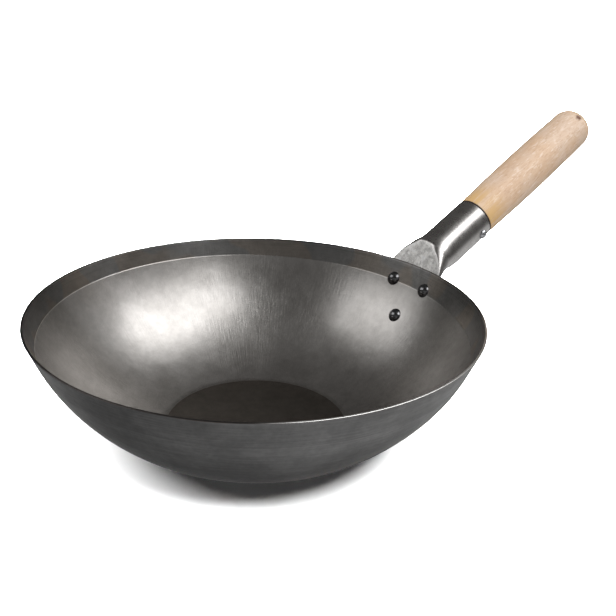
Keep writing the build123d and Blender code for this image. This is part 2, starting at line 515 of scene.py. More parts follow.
@dataclass(frozen=True)
class Steel:
    """Bare steel: mottled tone and gloss, fine scratches and a grainy surface."""

    name: str
    light: tuple
    dark: tuple
    gloss: tuple
    mottle: float = 0.035
    gloss_mottle_share: float = 0.4
    grain: float = 0.0012
    grain_depth: float = 0.00002
    scratch: float = 0.3
    scratch_width: float = 0.0016
    scratch_turns: tuple = (0.5, -0.9)
    scratch_reaches: tuple = (0.05, 0.035)

    def build(self) -> Material:
        """Makes the material.

        Returns:
            The material.
        """
        graph = Graph(self.name)
        space = graph.space()
        marks = self.scratches(graph, space)
        clouds = graph.noise(space, self.mottle, 4, 0.6, 0.4)
        colour = graph.mix(graph.ramp(clouds, 0.3, 0.72), self.light, self.dark)
        colour = graph.mix(graph.times(marks, self.scratch), colour, self.light)
        patches = graph.noise(space, self.mottle * self.gloss_mottle_share, 5, 0.65)
        normal = graph.bump(graph.noise(space, self.grain, 3, 0.6), self.grain_depth)
        normal = graph.bump(marks, self.grain_depth / 2, normal)
        return graph.finish({
            "Base Color": self.zones(graph, space, colour),
            "Metallic": 1.0,
            "Roughness": graph.ramp(patches, 0.3, 0.7, *self.gloss),
            "Normal": self.relief(graph, space, normal),
        })

    def zones(self, graph: Graph, space: Output, colour: Output) -> Output:
        """Colour after the finish's own zones, none on plain steel."""
        return colour

    def relief(self, graph: Graph, space: Output, normal: Output) -> Output:
        """Normal after the finish's own larger relief, none on plain steel."""
        return normal

    def scratches(self, graph: Graph, space: Output) -> Output:
        """Thin straight marks in two directions, most of them faint.

        Args:
            graph: The material's graph.
            space: Object coordinates.

        Returns:
            The value output, 1 on a mark.
        """
        found = []
        for turn, reach in zip(self.scratch_turns, self.scratch_reaches):
            along = graph.mapped(graph.mapped(space, Rotation=(0.2, 0.3, turn)), Scale=(0.03, 1, 1))
            lines = graph.ramp(graph.noise(along, self.scratch_width, 2, 0.5, 0.1), 0.66, 0.72)
            found.append(graph.times(lines, graph.ramp(graph.noise(space, reach, 2), 0.5, 0.62)))
        return graph.maths("MAXIMUM", *found)


@dataclass(frozen=True)
class BowlSteel(Steel):
    """Steel of the bowl's inside: a dark brushed rim band, a painted highlight along the crease, painted
    shade on the wall's right side, a lip with a painted highlight on an arc at the front right and painted
    shade elsewhere, and a dull base.
    """

    band_warm: tuple = (0.65, 0.61, 0.57, 1)
    band_cool: tuple = (0.57, 0.58, 0.59, 1)
    band_fade: tuple = (-0.0002, 0.0005)
    band_tones: tuple = (1.14, 0.92)
    patch: float = 0.045
    streak: float = 0.0007
    tick: float = 0.008
    tick_share: float = 0.35
    tick_tone: tuple = (0.3, 0.3, 0.3, 1)
    group: float = 0.03
    # Direction towards the left of the view: the crease's painted highlight lies on this side, the wall's
    # painted shade on the other.
    left: tuple = (-0.807, 0.59, 0)
    # Width, side reach and strength of the crease's painted highlight.
    painted_crease_width: float = 0.0005
    crease_highlight_reach: tuple = (0.04, 0.10)
    crease_painted_highlight: tuple = (1.7, 1.7, 1.7, 1)
    spot: float = 0.006
    # Reach and tone of the painted shade on the wall's right side.
    right_side_shade_reach: tuple = (-0.165, -0.105)
    right_side_shade_tone: float = 0.74
    lip_depth: float = 0.0005
    # Painted shade and painted highlight of the lip, and the side and reach of the highlight's arc.
    lip_painted_shade: tuple = (0.12, 0.11, 0.105, 1)
    lip_painted_highlight: tuple = (0.95, 0.94, 0.92, 1)
    lip_highlight_side: tuple = (0.153, -0.988, 0)
    lip_highlight_reach: tuple = (0.122, 0.146)
    base: tuple = (0.56, 0.52, 0.48, 1)
    base_edge: float = 0.001
    wave: float = 0.011
    wave_depth: float = 0.00018

    def zones(self, graph: Graph, space: Output, colour: Output) -> Output:
        """Shades the rim band, paints a highlight along the crease and shade on the wall's right side,
        paints a highlight and shade on the lip, and shades the base.

        Args:
            graph: The material's graph.
            space: Object coordinates.
            colour: The sheet's colour.

        Returns:
            The colour output.
        """
        over = over_crease(graph, space)
        in_band = graph.ramp(over, *self.band_fade)
        colour = graph.mix(in_band, colour, self.band(graph, space, over), "MULTIPLY")
        side = graph.measure("DOT_PRODUCT", space, self.left)
        # Painted highlight: a thin bright line along the crease, on the left side only.
        line = graph.ramp(graph.maths("ABSOLUTE", over), self.painted_crease_width / 3, self.painted_crease_width, 1, 0)
        line = graph.times(line, graph.ramp(side, *self.crease_highlight_reach))
        colour = graph.mix(line, colour, self.crease_painted_highlight, "MULTIPLY")
        spots = graph.ramp(graph.noise(space, self.spot, 4, 0.7), 0.35, 0.65, 0.95, 1.05)
        # Painted shade: below the band, the wall darkens towards its right side.
        shade = graph.mix(in_band, graph.ramp(side, *self.right_side_shade_reach, self.right_side_shade_tone, 1), (1, 1, 1, 1))
        colour = graph.mix(1.0, graph.shaded(colour, spots), shade, "MULTIPLY")
        # Painted highlight on an arc of the lip at the front right, painted shade on the rest of the lip.
        top = WALL.height - self.lip_depth
        lip = graph.ramp(graph.part(space, "Z"), top, top + self.lip_depth / 2)
        lip_highlight_share = graph.ramp(graph.measure("DOT_PRODUCT", space, self.lip_highlight_side), *self.lip_highlight_reach)
        colour = graph.mix(lip, colour, graph.mix(lip_highlight_share, self.lip_painted_shade, self.lip_painted_highlight))
        radius = graph.measure("LENGTH", graph.vector("MULTIPLY", space, (1, 1, 0)))
        in_base = graph.ramp(radius, WALL.flat_radius - self.base_edge, WALL.flat_radius, 1, 0)
        return graph.mix(in_base, colour, self.base, "MULTIPLY")

    def band(self, graph: Graph, space: Output, over: Output) -> Output:
        """Shade of the rim band: brushed, in warm and cool patches, with short thin ticks.

        Args:
            graph: The material's graph.
            space: Object coordinates.
            over: Height over the crease.

        Returns:
            The colour output.
        """
        rings = graph.mapped(space, Scale=(0.02, 0.02, 1))
        brushed = graph.ramp(graph.noise(rings, self.streak, 3, 0.6), 0.35, 0.65, 0.86, 1.08)
        brushed = graph.times(brushed, graph.ramp(over, 0, WALL.crease_depth, *self.band_tones))
        patches = graph.ramp(graph.noise(space, self.patch, 1, 0.3), 0.47, 0.53)
        shade = graph.mix(brushed, tint(0, 0, 0), graph.mix(patches, self.band_warm, self.band_cool))
        lines = graph.ramp(graph.noise(up_slope(graph, space, 0.8), self.tick, 2, 0.5), 0.64, 0.7)
        groups = graph.ramp(graph.noise(space, self.group, 2), 0.56, 0.64)
        return graph.mix(graph.times(lines, groups, self.tick_share), shade, self.tick_tone)

    def relief(self, graph: Graph, space: Output, normal: Output) -> Output:
        """Adds faint waves that run up the slope, as the press leaves them.

        Args:
            graph: The material's graph.
            space: Object coordinates.
            normal: The sheet's normal.

        Returns:
            The normal output.
        """
        waves = graph.noise(up_slope(graph, space, 1.2), self.wave, 3, 0.6)
        patches = graph.ramp(graph.noise(space, self.group, 2), 0.35, 0.65, 0.2, 1)
        return graph.bump(graph.times(waves, patches), self.wave_depth, normal)


@dataclass(frozen=True)
class OutsideSteel(Steel):
    """Steel of the bowl's outside: painted shade at the foot, brush rings, smears and a painted tone step
    at the crease, lighter below it and darker above.
    """

    # Heights over which the foot's painted shade fades out, and its tone.
    foot: tuple = (0.002, 0.025)
    foot_painted_shade: float = 0.6
    # Drop under the crease and width of the painted tone step there.
    painted_step_drop: float = 0.0008
    painted_crease_width: float = 0.0009
    ring: float = 0.0012
    fleck: float = 0.004
    smear: float = 0.008
    smear_patch: float = 0.05

    def zones(self, graph: Graph, space: Output, colour: Output) -> Output:
        """Shades the rings and the smears, and paints shade on the foot and a lighter-below, darker-above
        step at the crease.

        Args:
            graph: The material's graph.
            space: Object coordinates.
            colour: The sheet's colour.

        Returns:
            The colour output.
        """
        rings = graph.noise(graph.mapped(space, Scale=(0.03, 0.03, 1)), self.ring, 3, 0.6)
        smears = graph.noise(graph.mapped(space, Scale=(0.3, 0.3, 1)), self.smear, 4, 0.7, 1.0)
        patches = graph.ramp(graph.noise(space, self.smear_patch, 2), 0.56, 0.66)
        return graph.shaded(
            colour,
            graph.ramp(rings, 0.35, 0.65, 0.90, 1.08),
            # Painted shade: the outside darkens towards the bottom, standing in for the floor's shadow that
            # it would mirror.
            graph.ramp(graph.part(space, "Z"), *self.foot, self.foot_painted_shade, 1),
            # Painted light and shade at the crease: the wall below is lightened, the band above darkened.
            graph.ramp(over_crease(graph, space, self.painted_step_drop), -self.painted_crease_width, 0, 1.1, 0.92),
            graph.ramp(graph.noise(space, self.fleck, 4, 0.7), 0.35, 0.65, 0.94, 1.06),
            graph.ramp(graph.times(patches, graph.ramp(smears, 0.5, 0.66)), 0, 1, 1, 1.35),
        )


@dataclass(frozen=True)
class PressedSteel(Steel):
    """Steel that the press has flattened: matt, pale, blotched and dented."""

    blot: float = 0.00624
    dent: float = 0.0026
    dent_depth: float = 0.0004

    def zones(self, graph: Graph, space: Output, colour: Output) -> Output:
        """Adds blotches and short rubbed lines, as the press leaves them.

        Args:
            graph: The material's graph.
            space: Object coordinates.
            colour: The sheet's colour.

        Returns:
            The colour output.
        """
        blots = graph.ramp(graph.noise(space, self.blot, 3, 0.7), 0.36, 0.62, 0.78, 1.14)
        rubbed = graph.noise(graph.mapped(space, Scale=(1, 3, 0.25)), self.dent, 2, 0.5)
        return graph.shaded(colour, blots, graph.ramp(rubbed, 0.56, 0.66, 1, 0.84))

    def relief(self, graph: Graph, space: Output, normal: Output) -> Output:
        """Adds shallow dents."""
        return graph.bump(graph.noise(space, self.dent, 3, 0.6), self.dent_depth, normal)


@dataclass(frozen=True)
class Timber:
    """Pale turned wood: lengthwise grain, pores, warmer ends and one knot."""

    name: str
    pale: tuple
    warm: tuple
    vein: tuple
    bleached: tuple
    amber: tuple
    knot: tuple
    mouth_dark_band: tuple
    axis_turn: float
    grain: float = 0.006
    slant: float = 0.16
    cast: float = 0.03
    edge_length: float = 0.0021
    near_reach: tuple = (0.004, 0.035)
    tip_reach: tuple = (0.147, 0.164)
    knot_reach: tuple = (0.003, 0.0065)
    knot_wobble: float = 0.004
    pore_depth: float = 0.00006

    def build(self, start: Vector, knot_at: Vector) -> Material:
        """Makes the material.

        Args:
            start: Centre of the grip's inner end.
            knot_at: Place of the knot.

        Returns:
            The material.
        """
        graph = Graph(self.name)
        source = graph.space()
        laid = {"Vector": source, "Location": start, "Rotation": (0, self.axis_turn, 0)}
        local = graph.add("Mapping", laid, vector_type="TEXTURE").outputs["Vector"]
        along = graph.part(local, "X")
        slanted = graph.mapped(local, Rotation=(0, self.slant, self.slant))
        fibre = graph.mapped(local, Scale=(0.05, 1, 1))
        cross = graph.mapped(slanted, Scale=(0.09, 1, 1))
        bands = graph.ramp(graph.noise(fibre, self.grain, 4, 0.6, 1.2), 0.35, 0.7)
        lines = graph.ramp(graph.noise(cross, self.grain / 5, 3, 0.7, 0.6), 0.5, 0.68)
        streaks = graph.ramp(graph.noise(cross, self.grain / 2, 2, 0.6, 1.5), 0.56, 0.64)
        cast = graph.ramp(graph.noise(local, self.cast, 3, 0.5), 0.35, 0.65)
        near = graph.times(graph.ramp(along, *self.near_reach, 1, 0), graph.ramp(bands, 0, 0.6, 0.25, 1))
        edge_start = self.edge_length * 0.7
        wobble = graph.times(graph.noise(local, self.knot_reach[0], 2), self.knot_wobble)
        away = graph.maths("ADD", graph.measure("DISTANCE", source, knot_at), wobble)
        colour = graph.mix(cast, self.pale, self.warm)
        for share, tone in (
            (graph.times(bands, 0.2), self.vein),
            (graph.times(streaks, 0.5), self.bleached),
            (graph.times(lines, 0.5), self.vein),
            (graph.maths("MAXIMUM", near, graph.ramp(along, *self.tip_reach, 0, 0.45)), self.amber),
            # Near-black band on the wood where it meets the socket's mouth.
            (graph.ramp(along, edge_start, self.edge_length, 1, 0), self.mouth_dark_band),
            (graph.ramp(away, *self.knot_reach, 1, 0), self.knot),
        ):
            colour = graph.mix(share, colour, tone)
        return graph.finish({
            "Base Color": colour,
            "Roughness": graph.ramp(bands, 0, 1, 0.46, 0.6),
            "Normal": graph.bump(lines, self.pore_depth),
        })


# Pieces


@dataclass
class Bowl:
    """The pressed sheet: flat base, arched wall, crease and rim band."""

    ledge: float = 0.00012
    ledge_length: float = 0.0004
    crease_support: float = 0.0005
    rim_round: float = 0.0006
    wall_steps: int = 60
    bend_steps: int = 10
    band_steps: int = 10
    band_support: float = 0.02
    rim_steps: tuple = (5, 6)
    turn_steps: int = 360
    lean_reach: float = 0.05

    def side(self, distance: float) -> list[Vector]:
        """Profile of a face from the axis to the rim.

        Args:
            distance: Distance of the face outside the bowl's inner face.

        Returns:
            The points in order.
        """
        low, high = WALL.slopes
        centre, radius = WALL.sweep
        ahead = Vector((math.cos(low), 0, math.sin(low)))
        middle = Vector((0, 0, WALL.sheet))
        base = rounded(middle, WALL.foot, WALL.foot + ahead, WALL.base_bend, self.bend_steps)
        bend_centre = Vector((base[0].x, 0, WALL.sheet + WALL.base_bend))
        base = [p + (p - bend_centre).normalized() * distance for p in base]
        start = low - math.pi / 2 + WALL.base_bend * math.tan(low / 2) / radius
        end = high - math.pi / 2
        support = self.crease_support / radius
        wall = arc(centre, radius + distance, start, end - support, self.wall_steps)
        wall += arc(centre, radius + distance, end - support / 2, end, 1)
        up = Vector((math.cos(WALL.band), 0, math.sin(WALL.band)))
        ledge = self.ledge if distance == 0 else 0
        lip = WALL.crease + up * (WALL.crease_depth / math.sin(WALL.band))
        band_foot = WALL.crease + up * self.ledge_length
        band = []
        for share in [0, self.band_support] + [i / self.band_steps for i in range(1, self.band_steps + 1)]:
            push = WALL.outward(WALL.band) * (distance + ledge * (1 - share))
            band.append(band_foot + (lip - band_foot) * share + push)
        return [Vector((0, 0, WALL.sheet - distance))] + base + wall[1:] + band

    def outline(self) -> list[Vector]:
        """Closed profile: inner face, rounded rim and outer face.

        Returns:
            The points in order.
        """
        inner = self.side(0)
        outer = self.side(WALL.sheet)
        inner_top = inner[-1]
        across = WALL.sheet / math.sin(WALL.band)
        outer_top = inner_top + Vector((across, 0, 0))
        first = rounded(inner[-2], inner_top, outer_top, self.rim_round, self.rim_steps[0])
        second = rounded(inner_top, outer_top, outer[-2], self.rim_round, self.rim_steps[1])
        return inner[:-1] + first + second + outer[-2::-1]

    def lean_crease(self, mesh: bmesh.types.BMesh) -> None:
        """Tilts the crease a little, as it lies on the real bowl, and leaves the rim level.

        Args:
            mesh: The spun bowl.
        """
        level = WALL.crease.z
        slope = math.tan(WALL.band)
        lean_x, lean_y, _ = WALL.crease_lean
        for vert in mesh.verts:
            spot = vert.co
            room = WALL.crease_depth if spot.z > level else self.lean_reach
            rise = (spot.x * lean_x + spot.y * lean_y) * smooth_step(1 - abs(spot.z - level) / room)
            radial = Vector((spot.x, spot.y, 0))
            if radial.length > 0:
                vert.co = spot + radial.normalized() * (rise / slope) + Vector((0, 0, rise))

    def build(self, inside: Material, outside: Material) -> None:
        """Models the bowl and dresses its two faces.

        Args:
            inside: Finish of the inner face and the rim.
            outside: Finish of the outer face.
        """
        mesh = turned(self.outline(), self.turn_steps)
        self.lean_crease(mesh)
        for face in mesh.faces:
            spot = face.calc_center_median()
            radius = math.hypot(spot.x, spot.y)
            middle = WALL.radius_at(spot.z, WALL.sheet / 2) if spot.z > WALL.sheet else WALL.flat_radius
            outer = radius > middle and spot.z < WALL.height - self.rim_round
            face.material_index = int(outer or spot.z < WALL.sheet / 2)
        seat(new_piece("bowl_sheet", mesh, [inside, outside]), "bare_steel", "bowl")


@dataclass
class Socket:
    """The steel tube: round at the grip, pressed flat at the neck, a riveted plate below."""

    radius: float = 0.0194
    wall: float = 0.0015
    reach: float = 0.0816
    round_length: float = 0.043
    rake: float = math.radians(27.9)
    neck_drop: float = 0.004
    gap: float = 0.00015
    plate_depth: float = 0.058
    shoulder_depth: float = 0.024
    tip_radius: float = 0.015
    shoulder_round: float = 0.006
    mouth_round: float = 0.0003
    sleeve: float = 0.004
    bend: float = 0.010
    settle: float = 0.006
    fold: float = 0.0009
    press_reach: float = 0.0002
    spacing: float = 0.0006
    round_spacing: float = 0.003
    mouth_steps: int = 3
    tip_steps: int = 24
    turn_steps: int = 144
    weld: float = 1e-7
    face_tries: int = 8
    flatten_shares: tuple = (0.0, 0.10, 0.27, 0.46, 0.66, 0.84, 0.96, 1.25)
    crown_shares: tuple = (1.0, 1.0, 1.0, 0.99, 0.80, 0.63, 0.50, 0.50)
    bottom_shares: tuple = (1.0, 0.99, 0.90, 0.68, 0.40, 0.19, 0.12, 0.08)
    corner_shares: tuple = (2.0, 2.0, 2.05, 2.2, 2.5, 2.8, 3.0, 3.4)
    crest_shares: tuple = (2.0, 2.0, 2.08, 2.45, 3.1, 3.9, 4.4, 4.4)
    bow_shares: tuple = (0.0, 0.0, 0.0, 0.09, 0.34, 0.77, 0.94, 1.0)

    @cached_property
    def axis(self) -> Vector:
        """Direction of the handle, from the bowl outwards."""
        return Vector((math.cos(self.rake), 0, math.sin(self.rake)))

    @cached_property
    def up(self) -> Vector:
        """Direction square to the handle that points up from it."""
        return Vector((-self.axis.z, 0, self.axis.x))

    @property
    def middle(self) -> float:
        """Distance of the line between the plate's layers from the bowl's inner face."""
        return WALL.sheet + self.gap + self.wall

    @cached_property
    def neck(self) -> Vector:
        """Point where the handle's axis meets the plate."""
        return WALL.place(self.neck_drop, self.middle)[0]

    @cached_property
    def mouth(self) -> Vector:
        """Centre of the tube's open end."""
        return self.neck + self.axis * self.reach

    def mouth_frame(self) -> Matrix:
        """Matrix from a piece turned round Z to its place on the handle, at the mouth."""
        return placed(self.mouth, self.up.cross(self.axis), self.up, self.axis)

    def spread(self, height: float) -> float:
        """Half width of a flattened section whose sheet keeps its length."""
        return (math.pi * self.radius - (math.pi / 2 - 1) * height) / 2

    def share_at(self, station: float, shares: tuple) -> float:
        """Value of a table of shares at a station, eased between its rows.

        Args:
            station: Distance past the neck, negative on the tube.
            shares: The table.

        Returns:
            The value.
        """
        length = self.reach - self.round_length
        spot = (self.reach + station - self.round_length) / length
        if spot <= 0:
            return shares[0]
        if spot >= self.flatten_shares[-1]:
            return shares[-1]
        row = max(i for i, share in enumerate(self.flatten_shares) if share <= spot)
        return self.curve_through(spot, row, shares)

    def curve_through(self, spot: float, row: int, shares: tuple) -> float:
        """Cubic between two rows of a table, with slopes from the rows beside them.

        Args:
            spot: Place along the table.
            row: The row before it.
            shares: The table.

        Returns:
            The value.
        """
        at = self.flatten_shares
        slopes = []
        for i in (row, row + 1):
            before = max(i - 1, 0)
            after = min(i + 1, len(at) - 1)
            slopes.append((shares[after] - shares[before]) / (at[after] - at[before]))
        width = at[row + 1] - at[row]
        t = (spot - at[row]) / width
        start = shares[row] * (1 + 2 * t) * (1 - t) ** 2 + slopes[0] * width * t * (1 - t) ** 2
        return start + shares[row + 1] * t * t * (3 - 2 * t) + slopes[1] * width * t * t * (t - 1)

    def spine(self, station: float) -> tuple[Vector, Vector]:
        """Middle point of a section and the direction of its lift.

        Args:
            station: Distance past the neck, negative on the tube.

        Returns:
            The point and the unit vector across the section, towards the bowl's mouth.
        """
        plate = WALL.place(self.neck_drop + max(station, self.bend), self.middle)
        if station <= -self.bend:
            return self.neck - self.axis * station, self.up
        if station >= self.bend:
            return plate[0], -WALL.outward(plate[1])
        start = self.neck + self.axis * self.bend
        t = (station + self.bend) / (2 * self.bend)
        point = start * (1 - t) ** 2 + self.neck * (2 * t * (1 - t)) + plate[0] * t * t
        ahead = (self.neck - start) * (1 - t) + (plate[0] - self.neck) * t
        return point, Vector((ahead.z, 0, -ahead.x)).normalized()

    def face_lift(self, origin: Vector, lift: Vector, across: float) -> float:
        """Height over a section's middle at which it meets the pressed face.

        Args:
            origin: The section's middle point.
            lift: Its lift direction.
            across: Distance to the side.

        Returns:
            The height.
        """

        def miss(height: float) -> float:
            """Distance of a point of the section outside the face."""
            spot = origin + lift * height
            return math.hypot(spot.x, across) - WALL.radius_at(spot.z, WALL.sheet + self.gap)

        first, second = 0.0, self.wall
        for _ in range(self.face_tries):
            gain = miss(second) - miss(first)
            if abs(gain) < 1e-12:
                break
            first, second = second, second - miss(second) * (second - first) / gain
        return second

    def plate_width(self, depth: float) -> float:
        """Half width of the plate on its tongue outline.

        Args:
            depth: Depth under the rim.

        Returns:
            The half width.
        """
        full = self.spread(2 * self.wall)
        tip = self.plate_depth - self.tip_radius
        span = Vector((full, tip - self.shoulder_depth))
        lean = math.atan2(span.y, span.x) - math.asin(self.tip_radius / span.length)
        taper = full - (depth - self.shoulder_depth) / math.tan(lean)
        below = min(max(depth - tip, 0), self.tip_radius)
        cap = math.sqrt(max(self.tip_radius**2 - below**2, 0))
        touch = tip + self.tip_radius * math.cos(lean)
        side = soft_min(full, taper, self.shoulder_round) if depth < touch else cap
        return max(side, self.wall / 4)

    def skin_point(self, station: float, angle: float) -> Vector:
        """Point of the outer skin.

        Args:
            station: Distance past the neck, negative on the tube.
            angle: Angle round the section, 0 at the side and a quarter turn at the top.

        Returns:
            The point.
        """
        origin, lift = self.spine(station)
        pressed = self.face_lift(origin, lift, 0)
        plate = smooth_step((station + self.settle) / (2 * self.settle))
        bottom = self.share_at(station, self.bottom_shares) * self.radius
        bottom += (2 * self.wall - pressed - bottom) * plate
        half = (min(self.radius, pressed) + bottom) / 2
        width = self.spread(2 * half)
        width += (self.plate_width(self.neck_drop + max(station, 0)) - width) * plate
        corner = self.share_at(station, self.corner_shares)
        upper = angle >= 0
        power = self.share_at(station, self.crest_shares) if upper else corner
        height = half / self.share_at(station, self.crown_shares) if upper else half
        across = width * math.copysign(abs(math.cos(angle)) ** (2 / power), math.cos(angle))
        rise = height * math.copysign(abs(math.sin(angle)) ** (2 / power), math.sin(angle))
        face = self.face_lift(origin, lift, across)
        rise += half - bottom + self.share_at(station, self.bow_shares) * (face - pressed)
        rise = soft_min(rise, face, self.fold)
        return origin + lift * rise + Vector((0, across, 0))

    def outline(self) -> list[Vector]:
        """Line along the tube that is spun into its skin.

        Returns:
            The points, with the radius as X and the station as Z.
        """
        inner = self.radius - self.wall
        outer = Vector((self.radius, 0, -self.reach))
        lip = Vector((inner, 0, -self.reach))
        line = [Vector((inner, 0, self.sleeve - self.reach))]
        line += rounded(line[0], lip, outer, self.mouth_round, self.mouth_steps)
        line += rounded(lip, outer, outer + Vector((0, 0, self.sleeve)), self.mouth_round, self.mouth_steps)
        station = -self.reach + self.round_spacing
        while station < -self.reach + self.round_length:
            line.append(Vector((self.radius, 0, station)))
            station += self.round_spacing
        tip = self.plate_depth - self.neck_drop - self.tip_radius
        while station < tip:
            line.append(Vector((self.radius, 0, station)))
            station += self.spacing
        for i in range(self.tip_steps + 1):
            past = self.tip_radius * math.sin(math.pi / 2 * i / self.tip_steps)
            line.append(Vector((self.radius, 0, tip + past)))
        return line

    def build(self, finish: Material, pressed: Material) -> None:
        """Models the socket and dresses it.

        Args:
            finish: Finish of the tube.
            pressed: Finish of the face that the press has flattened.
        """
        mesh = spun(self.outline(), self.turn_steps)
        bmesh.ops.remove_doubles(mesh, verts=mesh.verts, dist=self.weld)
        for vert in mesh.verts:
            radius, station = math.hypot(vert.co.x, vert.co.y), vert.co.z
            angle = math.atan2(vert.co.y, vert.co.x)
            if station < self.round_length - self.reach:
                ring = Vector((0, math.cos(angle), 0)) + self.up * math.sin(angle)
                vert.co = self.neck - self.axis * station + ring * radius
            else:
                vert.co = self.skin_point(station, angle)
        rims = [edge for edge in mesh.edges if edge.is_boundary]
        tip = [edge for edge in rims if edge.verts[0].co.z < WALL.height - self.shoulder_depth]
        bmesh.ops.contextual_create(mesh, geom=tip)
        close_skin(mesh)
        for face in mesh.faces:
            spot = face.calc_center_median()
            outside = math.hypot(spot.x, spot.y) - WALL.radius_at(spot.z, WALL.sheet + self.gap)
            face.material_index = int(abs(outside) < self.press_reach)
        seat(new_piece("handle_socket_tube", mesh, [finish, pressed]), "polished_steel", "handle_socket")


SOCKET = Socket()


@dataclass
class Rivets:
    """Three round-head rivets through the bowl and the plate."""

    head_radius: float = 0.0064
    head_height: float = 0.0041
    tail_radius: float = 0.0052
    tail_height: float = 0.0017
    sink: float = 0.0005
    upper_spread: float = 0.019
    upper_depth: float = 0.0162
    lower_depth: float = 0.043
    turn_steps: int = 48
    dome_steps: int = 14

    def dome(self, radius: float, height: float) -> list[Vector]:
        """Outline of a round cap from its sunken skirt to its crown.

        Args:
            radius: The cap's radius at its seat.
            height: Its height over the seat.

        Returns:
            The points in order.
        """
        ball = (radius**2 + height**2) / (2 * height)
        half = math.asin(radius / ball)
        cap = arc(Vector((0, 0, height - ball)), ball, math.pi / 2 - half, math.pi / 2, self.dome_steps)
        return [Vector((0, 0, -self.sink)), Vector((radius, 0, -self.sink))] + cap

    def frame_at(self, depth: float, aside: float, distance: float, inward: bool) -> Matrix:
        """Matrix from a cap turned round Z to its seat on the wall.

        Args:
            depth: Depth under the rim.
            aside: Distance to the side of the handle's plane.
            distance: Distance of the seat outside the bowl's inner face.
            inward: Whether the cap points into the bowl.

        Returns:
            The matrix.
        """
        point, angle = WALL.place(depth, distance)
        normal = WALL.outward(angle) * (-1 if inward else 1)
        side = Vector((0, 1, 0))
        turn = Matrix.Rotation(math.asin(aside / point.x), 4, "Z")
        return turn @ placed(point, side, normal.cross(side), normal)

    def build(self, finish: Material) -> None:
        """Models the three rivets and dresses them.

        Args:
            finish: Their finish.
        """
        plate = WALL.sheet + SOCKET.gap + 2 * SOCKET.wall
        places = {
            "rivet_left": (self.upper_depth, self.upper_spread),
            "rivet_right": (self.upper_depth, -self.upper_spread),
            "rivet_low": (self.lower_depth, 0.0),
        }
        for name, (depth, aside) in places.items():
            mesh = turned(self.dome(self.head_radius, self.head_height), self.turn_steps)
            mesh.transform(self.frame_at(depth, aside, 0, True))
            tail = turned(self.dome(self.tail_radius, self.tail_height), self.turn_steps)
            tail.transform(self.frame_at(depth, aside, plate, False))
            part = bpy.data.meshes.new(name)
            tail.to_mesh(part)
            tail.free()
            mesh.from_mesh(part)
            bpy.data.meshes.remove(part)
            seat(new_piece(name, mesh, [finish]), "dark_steel", "rivets")


@dataclass
class Grip:
    """The turned wooden grip."""

    length: float = 0.16688
    shoulder_radius: float = 0.0191
    belly_radius: float = 0.0207
    end_radius: float = 0.0199
    dome_length: float = 0.0165
    belly_share: float = 0.55
    fullness_share: float = 0.55
    shoulder_gap: float = 0.00035
    shoulder_round: float = 0.0006
    spigot_length: float = 0.008
    spigot_play: float = 0.00025
    knot_aside: tuple = (-0.0121, 0.0152)
    knot_setback: float = 0.0139
    belly_steps: int = 40
    dome_steps: int = 24
    shoulder_steps: int = 5
    turn_steps: int = 128

    @property
    def straight(self) -> float:
        """Distance from the mouth to the start of the dome."""
        return self.length - self.dome_length

    def belly(self) -> list[Vector]:
        """Long curve from the shoulder to the start of the dome.

        Returns:
            The points in order.
        """
        middle = self.shoulder_gap + (self.straight - self.shoulder_gap) * self.belly_share
        points = []
        for i in range(self.belly_steps + 1):
            along = self.shoulder_gap + (self.straight - self.shoulder_gap) * i / self.belly_steps
            near = (along - middle) / (middle - self.shoulder_gap) if along < middle else 0
            far = (along - middle) / (self.straight - middle) if along > middle else 0
            radius = self.belly_radius - (self.belly_radius - self.shoulder_radius) * near**2
            points.append(Vector((radius - (self.belly_radius - self.end_radius) * far**2, 0, along)))
        return points

    def dome(self) -> list[Vector]:
        """Full round end, a Bezier curve from the belly to the axis.

        Returns:
            The points in order, without the first.
        """
        first = Vector((self.end_radius, 0, self.straight))
        second = first + Vector((0, 0, self.dome_length * self.fullness_share))
        third = Vector((self.end_radius * self.fullness_share, 0, self.length))
        fourth = Vector((0, 0, self.length))
        points = []
        for i in range(1, self.dome_steps + 1):
            t = i / self.dome_steps
            near = first * (1 - t) ** 3 + second * (3 * t * (1 - t) ** 2)
            points.append(near + third * (3 * t * t * (1 - t)) + fourth * t**3)
        return points

    def build(self, finish: Timber) -> None:
        """Models the grip and dresses it.

        Args:
            finish: Its wood.
        """
        spigot = SOCKET.radius - SOCKET.wall - self.spigot_play
        belly = self.belly()
        inner = Vector((spigot, 0, self.shoulder_gap))
        neck = [Vector((0, 0, -self.spigot_length)), Vector((spigot, 0, -self.spigot_length)), inner]
        shoulder = rounded(inner, belly[0], belly[1], self.shoulder_round, self.shoulder_steps)
        mesh = turned(neck + shoulder + belly[1:] + self.dome(), self.turn_steps)
        mesh.transform(SOCKET.mouth_frame())
        knot = SOCKET.mouth_frame() @ Vector((*self.knot_aside, self.length - self.knot_setback))
        wood = finish.build(SOCKET.mouth, knot)
        seat(new_piece("wood_grip_turned", mesh, [wood]), "pale_wood", "wood_grip")


